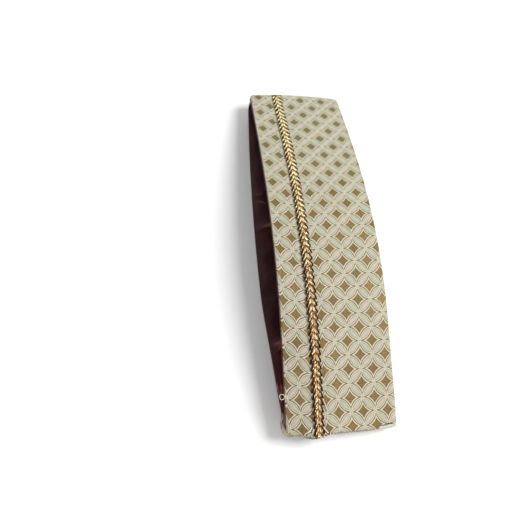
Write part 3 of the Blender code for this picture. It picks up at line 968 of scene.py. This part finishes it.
def crown_lining(name):
    grids = folded_sheet(CROWN_LINING_END_SHARE, CROWN_LINING_OFFSET, crown_lining_setback, LINING_STEP)
    points, normals, distance, length = grids
    wrinkles = 0.22 + 0.18 * np.sin(length / 6.0 + distance / 8.0)
    wrinkles = wrinkles + 0.12 * np.sin(length / 2.7 - distance / 5.0)
    cloth = np.stack([distance, length, 0.0 * length], -1)
    outer = points - normals * (0.5 * LINING)
    inner = points + normals * (0.5 * LINING + wrinkles[..., None])
    return sheet_object(name, inner, outer, cloth, satin)


SEAM_STRIP_SHARE = 0.77       # the side linings are joined to the crown lining up to here
SEAM_STRIP_POINTS = 9
SEAM_STRIP_THICKNESS = 0.4
SEAM_STRIP_LAP = 1.0          # how far the strip reaches into the linings that it joins
SEAM_STRIP_SAG = 0.7
SEAM_STRIP_GATHERS = 0.16


def lining_seam(name, side):
    """The strip of lining over a crown seam, from a side lining to the crown lining."""
    ends = (-SEAM_STRIP_SHARE * NEAR_LENGTH, SEAM_STRIP_SHARE * FAR_LENGTH)
    lengths = steps_between(*ends, LINING_STEP, CLOSE[:3])
    share = np.linspace(0.0, 1.0, SEAM_STRIP_POINTS)[:, None]
    faces, backs, cloths = [], [], []
    for length, t in zip(lengths, length_share(lengths)):
        lining_edge = panel_width(side, t) - CROWN_HEM - HEM_STEP - GAP
        start = at_depth(side, t, lining_edge - SEAM_STRIP_LAP, BROCADE + 0.6 * LINING)
        section = folded_section(t, CROWN_LINING_OFFSET, crown_lining_setback(t) + SEAM_STRIP_LAP)[0]
        end = section[0] if side == UPPER else section[-1]
        seam = at_depth(side, t, panel_width(side, t) - SEAM_SETBACK, TURNED_EDGE)
        towards = unit(seam - 0.5 * (start + end))
        sag = SEAM_STRIP_SAG + SEAM_STRIP_GATHERS * np.sin(length / 1.9 + 5.0 * share)
        line = start + (end - start) * share + towards * sag * np.sin(np.pi * share)
        faces.append(line - towards * 0.5 * SEAM_STRIP_THICKNESS)
        backs.append(line + towards * 0.5 * SEAM_STRIP_THICKNESS)
        wide = np.linalg.norm(end - start)
        cloths.append(np.concatenate([wide * share, length + 0.0 * share, 0.0 * share], axis=1))
    return sheet_object(name, np.array(faces), np.array(backs), np.array(cloths), satin)


# Gold lace

GROUP = 4.8                   # one dark lozenge and its gold strands along each side of the lace
CORE_STRANDS = 3              # plump gold strands in a group
CORE_RUN = 4.6                # how far they run along it
CORE_WIDTH = 1.24
CORE_THICKNESS = 0.78
ROOT_REACH = 0.55             # how far they start past the middle
TIP_REACH = 2.8               # how far the gold strand beside each dark one reaches, at the near end
TIP_REACH_GAIN = 1.1          # and how much farther at the far end, between shorter dark ones
TIP_RUN = 3.9
TIP_WIDTH = 1.10
TIP_TONE = 0.02               # how bright it is at the near end
TIP_TONE_GAIN = 0.22          # and how much brighter at the far end
DARK_SHARE = 0.84             # place in a group of the dark strand's root
DARK_RUN = 4.2                # how far it runs along the lace at the near end
DARK_RUN_LOSS = 2.9           # and how much less at the far end
DARK_WIDTH = 1.55
STRAND_GAIN = 0.4             # how much wider tips and dark strands are at the far end
EDGE_REACH = 3.40             # place of the thin thread along each edge
TAPE_SECTION = [(-3.1, 0.10), (-2.7, 0.26), (0.0, 0.34), (2.7, 0.26), (3.1, 0.10)]
TAPE_BASE = 0.02
# The strands of a group: how bright each is, with painted shade on the lower strands and a painted highlight
# on the highest, how high it rises and how far it reaches from the middle
BUNDLE_COLUMNS = ("tone", "height", "reach")
CORE_BUNDLE = [(-0.20, 0.78, 2.0), (0.08, 0.94, 2.3), (0.00, 0.86, 2.1)]


# Loose threads at the lace's near end: start and end along it and across it, and width
END_THREAD_COLUMNS = ("from_s", "from_a", "to_s", "to_a", "width")
END_THREADS = [
    (29.0, 2.6, 16.5, 7.0, 0.75),
    (27.5, 3.4, 20.0, 5.4, 0.50),
    (14.0, 2.9, 9.0, 4.9, 0.70),
    (12.8, 6.6, 9.0, 4.9, 0.60),
    (6.8, 3.0, 1.2, 6.4, 0.95),
    (4.6, 2.9, 0.8, 4.6, 0.70),
    (6.6, -4.9, 1.8, -8.2, 0.85),
    (5.6, -3.9, 1.6, -5.2, 0.70),
]


class LacePath:
    """Places on a lace: s along it from the near end, a across it from its middle, h above the cloth."""

    def __init__(self, side):
        self.side = side
        self.t = np.linspace(near_share(LACE_END_SETBACK), 1.0 - LACE_END_SETBACK / FAR_LENGTH, 900)
        self.s = arc_length(outer_point(side, self.t, LACE_FROM_MOUTH + 0.0 * self.t))
        self.length = self.s[-1]

    def at(self, s, a, h):
        t = np.interp(s, self.s, self.t)
        u = LACE_FROM_MOUTH + np.asarray(a, float)
        seat = seat_depth(self.side, t, LACE_FROM_MOUTH + 0.0 * u)
        return at_depth(self.side, t, u, seat - np.asarray(h, float))

    def up(self, s):
        t = np.interp(s, self.s, self.t)
        return -inward(self.side, t, LACE_FROM_MOUTH + 0.0 * t)


def splay(pile, path, root, hand, inner, outer, run, heights, width, height, tone=0.0, points=7):
    """A strand that leaves the middle of the lace towards its edge and the near end."""
    share = np.linspace(0.0, 1.0, points)
    swell = np.sin(np.pi * (0.14 + 0.74 * share)) ** 0.7
    s = np.clip(root - run * share ** 1.1, 0.0, path.length)
    a = hand * (inner + (outer - inner) * share)
    h = heights[0] + (heights[1] - heights[0]) * np.sin(np.pi * (0.10 + 0.72 * share))
    size = (width * swell, height * swell)
    pile.strand(path.at(s, a, h), path.up(s), *size, place=root / path.length, tone=tone)


def gold_lace(word, side, node):
    """A wheat-ear plait: plump gold strands in the middle, dark lozenges and thin bright tips beside them."""
    path = LacePath(side)
    golden, darker, tips = Pile(), Pile(), Pile()
    bundles = named_rows(BUNDLE_COLUMNS, CORE_BUNDLE)
    for hand in (-1.0, 1.0):
        for k in range(int(path.length / GROUP * CORE_STRANDS)):
            jitter = math.sin(12.9898 * k + 4.1 * hand)
            root = 1.2 + (k + 0.25 * hand + 0.10 * jitter) * GROUP / CORE_STRANDS
            bundle = bundles[(k + int(hand > 0.0)) % CORE_STRANDS]
            splay(golden, path, root, hand, -ROOT_REACH, bundle["reach"] + 0.14 * jitter, CORE_RUN,
                  (0.30, bundle["height"] + 0.06 * jitter), CORE_WIDTH + 0.08 * jitter, CORE_THICKNESS,
                  bundle["tone"] * (1.0 + root / path.length))
        for k in range(int(path.length / GROUP)):
            jitter = math.sin(7.233 * k + 2.7 * hand)
            shift = 1.0 + 0.45 * hand + 0.22 * jitter
            root = shift + (k + DARK_SHARE) * GROUP
            place = root / path.length
            run = DARK_RUN - DARK_RUN_LOSS * place + 0.35 * jitter
            reach = TIP_REACH + TIP_REACH_GAIN * place + 0.1 * jitter
            splay(golden, path, root + 0.3, hand, 1.40, reach, TIP_RUN, (0.34, 0.80),
                  TIP_WIDTH + STRAND_GAIN * place, 0.60, TIP_TONE + TIP_TONE_GAIN * place)
            splay(darker, path, root, hand, 2.15 + 0.5 * place, 3.70 + 0.15 * jitter, run, (0.50, 0.92),
                  DARK_WIDTH + STRAND_GAIN * place, 0.62)
        s = np.linspace(0.6, path.length - 0.6, int(path.length / 0.8))
        wave = 0.16 * np.sin(2.0 * np.pi * s / GROUP + hand)
        tips.strand(path.at(s, hand * (EDGE_REACH + wave), 0.18), path.up(s), 0.26, 0.24, place=0.5)
    if side == UPPER:
        for loose in named_rows(END_THREAD_COLUMNS, END_THREADS):
            share = np.linspace(0.0, 1.0, 9)
            s = loose["from_s"] + (loose["to_s"] - loose["from_s"]) * share
            a = loose["from_a"] + (loose["to_a"] - loose["from_a"]) * share ** 1.2
            h = 0.24 + 0.5 * loose["width"] * np.sin(np.pi * share) ** 0.5
            tips.strand(path.at(s, a, h), path.up(s), loose["width"], 0.7 * loose["width"])
    s = np.linspace(0.0, path.length, 240)[:, None]
    across, heights = np.array(TAPE_SECTION).T
    s, across = s + 0.0 * across, across + 0.0 * s
    top = path.at(s, across, heights + 0.0 * s)
    base = path.at(s, across, TAPE_BASE + 0.0 * s)
    cloth = np.stack([across, s, 0.0 * s], -1)
    place_piece(golden.build(word + "_gold_plait", gold), "gold_lace", node)
    place_piece(darker.build(word + "_dark_zigzag", dark), "gold_lace")
    place_piece(tips.build(word + "_lace_tips", blush), "gold_lace")
    place_piece(sheet_object(word + "_lace_tape", top, base, cloth, tape_cloth), "gold_lace")


# Stitches and threads

# A stitch's points on each side: shares of its reach and of its slant, and whether it lies on the cloth
STITCH_POINTS = [(1.0, 1.0, False), (0.8, 0.8, True), (0.35, 0.3, True)]
STITCH_HOLE_DEPTH = 0.25


def over_end(end, u, reach, slant, bulge, lift_by=0.20):
    """Path of a stitch that wraps both panels round an end of the cap, from -1 near to 1 far."""
    length = NEAR_LENGTH if end < 0.0 else FAR_LENGTH

    def half(side):
        points = []
        for far, skew, on_cloth in STITCH_POINTS:
            depth = -lift_by if on_cloth else STITCH_HOLE_DEPTH
            points.append(at_depth(side, end * (1.0 - far * reach / length), u - side * skew * slant, depth))
        return points + [at_depth(side, end, u, 0.3) + [0.0, end * (0.5 * bulge + 0.1), 0.0]]

    middle = 0.5 * (at_depth(UPPER, end, u, TURNED_EDGE) + at_depth(LOWER, end, u, TURNED_EDGE))
    middle = middle + [0.0, end * (0.5 * bulge + 0.2), 0.0]
    return smooth_path(half(UPPER) + [middle] + half(LOWER)[::-1], 4)


def add_thread(pile, path, thickness):
    """A round thread; its up vectors only fix where its ring starts."""
    up = np.tile([0.31, 0.17, 0.94], (len(path), 1))
    pile.strand(path, up, thickness, thickness)


NEAR_STITCH_START = 5.2       # place of the first stitch of the near end, from the mouth edge
NEAR_STITCH_RUN = 60.0
NEAR_STITCH_PITCH = 2.3
NEAR_STITCH_THREAD = 0.24
FAR_STITCH_START = 2.4
FAR_STITCH_RUN = 74.0
FAR_STITCH_PITCH = 4.6
FAR_STITCH_THREAD = 0.32


def end_stitches():
    """Overcast stitches that close the ends: grey and dark ones near, pale ones far."""
    greys, darks, pales = Pile(), Pile(), Pile()
    for k in range(int(NEAR_STITCH_RUN / NEAR_STITCH_PITCH)):
        u = NEAR_STITCH_START + k * NEAR_STITCH_PITCH + 0.35 * math.sin(5.1 * k)
        reach = 0.8 + 0.3 * math.sin(2.3 * k + 1.0)
        slant = 0.6 + 0.3 * math.sin(3.7 * k)
        at_lace = abs(u - LACE_FROM_MOUTH - 1.5) < 0.5 * LACE_WIDTH + 4.0
        pile = darks if at_lace and k % 3 else greys
        reach = reach + (0.5 if at_lace else 0.0)
        add_thread(pile, over_end(-1.0, u, reach, slant, 0.0, 0.06), NEAR_STITCH_THREAD)
    for k in range(int(FAR_STITCH_RUN / FAR_STITCH_PITCH)):
        u = FAR_STITCH_START + k * FAR_STITCH_PITCH
        add_thread(pales, over_end(1.0, u, 1.3, 0.7, 0.35), FAR_STITCH_THREAD)
    place_piece(greys.build("near_end_stitches", grey), "cream_brocade")
    place_piece(darks.build("near_end_dark_stitches", dark), "cream_brocade")
    place_piece(pales.build("far_end_stitches", pale), "cream_brocade")


RUNNING_START = 66.5          # the dark running thread beside the crown corner, from the mouth edge
RUNNING_END = 77.0
RUNNING_KNOTS = (73.6, 75.6)
RUNNING_FROM_END = 2.3
RUNNING_WAVE = 3.4
RUNNING_THREAD = 0.36
RUNNING_KNOT_THREAD = 0.5


def running_stitch():
    """Hand-sewn dark thread that lies in small waves beside the near end, at the crown corner."""
    u = np.linspace(RUNNING_START, RUNNING_END, 90)
    turn = 2.0 * np.pi * (u - RUNNING_START) / RUNNING_WAVE
    distance = RUNNING_FROM_END + 0.12 * np.sin(turn) + 0.7 * smooth_step((u - 72.0) / 3.0)
    depth = -0.12 - 0.05 * np.cos(turn)
    depth[:4] = depth[-4:] = 0.2
    pile = Pile()
    add_thread(pile, at_depth(UPPER, near_share(distance), u, depth), RUNNING_THREAD)
    for u_knot in RUNNING_KNOTS:
        angle = np.linspace(0.0, 2.0 * np.pi, 12)
        turn = np.stack([0.38 * np.cos(angle), 0.30 * np.sin(angle), 0.10 * np.sin(3.0 * angle)], -1)
        centre = at_depth(UPPER, near_share(RUNNING_FROM_END + 0.9), u_knot, -0.25)
        add_thread(pile, centre + turn, RUNNING_KNOT_THREAD)
    place_piece(pile.build("running_stitch", dark), "cream_brocade")


LOOP_FROM_END = 25.2          # the thread loop hangs at the mouth edge, this far from the near end
LOOP_RADIUS = 1.75
LOOP_THREAD = 0.68


def thread_loop():
    """A small loop of pale thread at the mouth edge, with the knot that it grows from."""
    t = near_share(LOOP_FROM_END)
    edge = at_depth(UPPER, t, 0.0, 0.4)
    centre = edge + np.array([-LOOP_RADIUS - 0.1, 0.0, 0.3])
    angles = np.linspace(0.35, 2.0 * np.pi - 0.25, 40)
    radius = LOOP_RADIUS * (1.0 + 0.06 * np.cos(3.0 * angles))
    ring = np.stack([radius * np.cos(angles), radius * np.sin(angles), 0.35 * np.sin(2.0 * angles)], -1)
    ring = ring + centre
    tails = [at_depth(UPPER, t + 0.004, 1.2, 0.2), at_depth(UPPER, t + 0.003, 0.5, -0.3)]
    ends = [at_depth(UPPER, t - 0.004, 0.6, -0.35), at_depth(UPPER, t - 0.012, 1.6, -0.2),
            at_depth(UPPER, t - 0.020, 2.2, 0.2)]
    first = smooth_path(tails + [ring[0]], 5)[:-1]
    last = smooth_path([ring[-1]] + ends, 5)[1:]
    path = np.concatenate([first, ring, last])
    pile = Pile()
    add_thread(pile, path, LOOP_THREAD)
    knot = np.linspace(0.0, 2.0 * np.pi * 1.6, 26)
    turns = np.stack([0.42 * np.cos(knot), 0.09 * knot - 0.45, 0.42 * np.sin(knot)], -1)
    turns = turns + at_depth(UPPER, t, 0.25, -0.1)
    add_thread(pile, turns, LOOP_THREAD)
    place_piece(pile.build("thread_loop", pale), "cream_brocade")


# The roll at the near mouth corner: its distance from the near end and from the mouth edge, its radius,
# and how pale it is
CORNER_ROLL_COLUMNS = ("distance", "across", "radius", "pale")
CORNER_ROLL = [
    (17.0, 0.4, 0.12, 0.0),
    (13.0, 0.9, 1.40, 0.0),
    (9.0, 1.2, 2.20, 0.0),
    (5.0, 1.4, 2.45, 0.0),
    (2.6, 2.5, 2.35, 0.2),
    (1.7, 5.0, 2.20, 0.8),
    (1.5, 9.0, 1.95, 1.0),
    (1.5, 14.0, 1.60, 1.0),
    (1.6, 20.0, 0.30, 1.0),
]
ROLL_DEPTH = 1.4              # depth of the roll's underside, on the turned edge
ROLL_SIDES = 28
ROLL_CLOTH_RADIUS = 2.35      # makes cloth coordinates of the angles round the roll


def corner_roll():
    """The lower panel's hem at the near mouth corner, rolled over the lining and round the corner."""
    knots = []
    for knot in named_rows(CORNER_ROLL_COLUMNS, CORNER_ROLL):
        depth = ROLL_DEPTH + 0.75 * knot["radius"]
        centre = at_depth(LOWER, near_share(knot["distance"]), knot["across"], depth)
        knots.append([*centre, knot["radius"], knot["pale"]])
    line = smooth_path(knots, 8)
    points, radius, paleness = line[:, :3], line[:, 3], line[:, 4]
    length = arc_length(points)
    way = unit(np.gradient(points, axis=0))
    side = unit(np.cross(way, inward(LOWER, near_share(3.0), 1.0)))
    out = np.cross(side, way)
    around = 2.0 * np.pi * np.arange(ROLL_SIDES + 1) / ROLL_SIDES
    turned = around[None, :] + length[:, None] / 16.0
    ridges = 0.11 * np.sin(5.0 * turned) + 0.05 * np.sin(9.0 * turned + 1.0)
    reach = radius[:, None] * (1.0 + ridges)
    surface = (points[:, None] + side[:, None] * (reach * np.cos(around))[..., None]
               + out[:, None] * (reach * np.sin(around))[..., None])
    around_cloth = turned * ROLL_CLOTH_RADIUS
    cloth = np.stack(np.broadcast_arrays(around_cloth, length[:, None], paleness[:, None]), -1)
    index = np.arange(len(points) * (ROLL_SIDES + 1)).reshape(-1, ROLL_SIDES + 1)
    quads = grid_faces(index).tolist()
    caps = [index[0, :-1].tolist()[::-1], index[-1, :-1].tolist()]
    piece = new_object("corner_roll", surface.reshape(-1, 3), quads + caps, rolled_hem,
                       {"cloth": cloth.reshape(-1, 3)})
    return place_piece(piece, "cream_brocade")


# The object

upper_panel = place_piece(brocade_panel("upper_brocade", UPPER), "cream_brocade", "upper_side_panel")
lower_panel = place_piece(brocade_panel("lower_brocade", LOWER), "cream_brocade", "lower_side_panel")
gusset = place_piece(crown_gusset("gusset_brocade"), "cream_brocade", "crown_gusset")
upper_satin = place_piece(side_lining("upper_satin", UPPER), "maroon_lining", "upper_side_lining")
lower_satin = place_piece(side_lining("lower_satin", LOWER), "maroon_lining", "lower_side_lining")
crown_satin = place_piece(crown_lining("crown_satin"), "maroon_lining", "crown_lining")
upper_seam = place_piece(lining_seam("upper_lining_seam", UPPER), "maroon_lining")
lower_seam = place_piece(lining_seam("lower_lining_seam", LOWER), "maroon_lining")
gold_lace("upper", UPPER, "upper_lace")
gold_lace("lower", LOWER, "lower_lace")
end_stitches()
running_stitch()
thread_loop()
roll = corner_roll()


# Stage

CAMERA_PLACE = (-91.0, -164.84, 401.5)
CAMERA_AIM = (-42.0, -11.44, 15.0)
CAMERA_ROLL = 13.3            # degrees
CAMERA_LENS = 37.93
STAGE_HALF_SIZE = 1.6         # metres
WORLD_LIGHT = 0.38


def make_camera():
    data = bpy.data.cameras.new("camera")
    data.lens = CAMERA_LENS
    data.sensor_width = 36.0
    camera = add_object("camera", data)
    camera.location = Vector(CAMERA_PLACE) * MM
    aim = (Vector(CAMERA_AIM) - Vector(CAMERA_PLACE)).to_track_quat("-Z", "Y")
    camera.rotation_mode = "QUATERNION"
    camera.rotation_quaternion = aim @ Quaternion((0.0, 0.0, 1.0), math.radians(CAMERA_ROLL))
    bpy.context.scene.camera = camera


def make_floor():
    size = STAGE_HALF_SIZE
    corners = [(-size, -size, 0.0), (size, -size, 0.0), (size, size, 0.0), (-size, size, 0.0)]
    mesh = bpy.data.meshes.new("floor")
    mesh.from_pydata(corners, [], [(0, 1, 2, 3)])
    make = Nodes("floor_paper")
    tone = make.noise(make.output("Object", "TexCoord"), 900.0)
    colour = make.ramp(tone, (0.3, (0.95, 0.95, 0.95, 1.0)), (0.7, (0.98, 0.98, 0.98, 1.0)))
    mesh.materials.append(make.finish(colour, 0.9, tone * 0.01))
    floor = add_object("floor", mesh)


# Soft lights: name, place in metres, size in metres, power in watts
LIGHT_COLUMNS = ("name", "place", "size", "power")
LIGHTS = [
    ("key", (0.75, 0.02, 1.00), 0.6, 15.0),
    ("fill", (0.00, -1.10, 0.55), 1.1, 5.0),
    ("rear", (0.10, 0.95, 0.90), 0.9, 2.5),
]


def make_lights():
    for light in named_rows(LIGHT_COLUMNS, LIGHTS):
        data = bpy.data.lights.new(light["name"], "AREA")
        data.size = light["size"]
        data.energy = light["power"]
        lamp = add_object(light["name"], data)
        lamp.location = light["place"]
        lamp.rotation_euler = (-lamp.location).to_track_quat("-Z", "Y").to_euler()
    world = bpy.data.worlds.new("studio")
    bpy.context.scene.world = world
    world.use_nodes = True
    background = world.node_tree.nodes["Background"].inputs
    background["Color"].default_value = (1.0, 1.0, 1.0, 1.0)
    background["Strength"].default_value = WORLD_LIGHT


make_camera()
make_floor()
make_lights()
bpy.context.scene.view_settings.view_transform = "Standard"
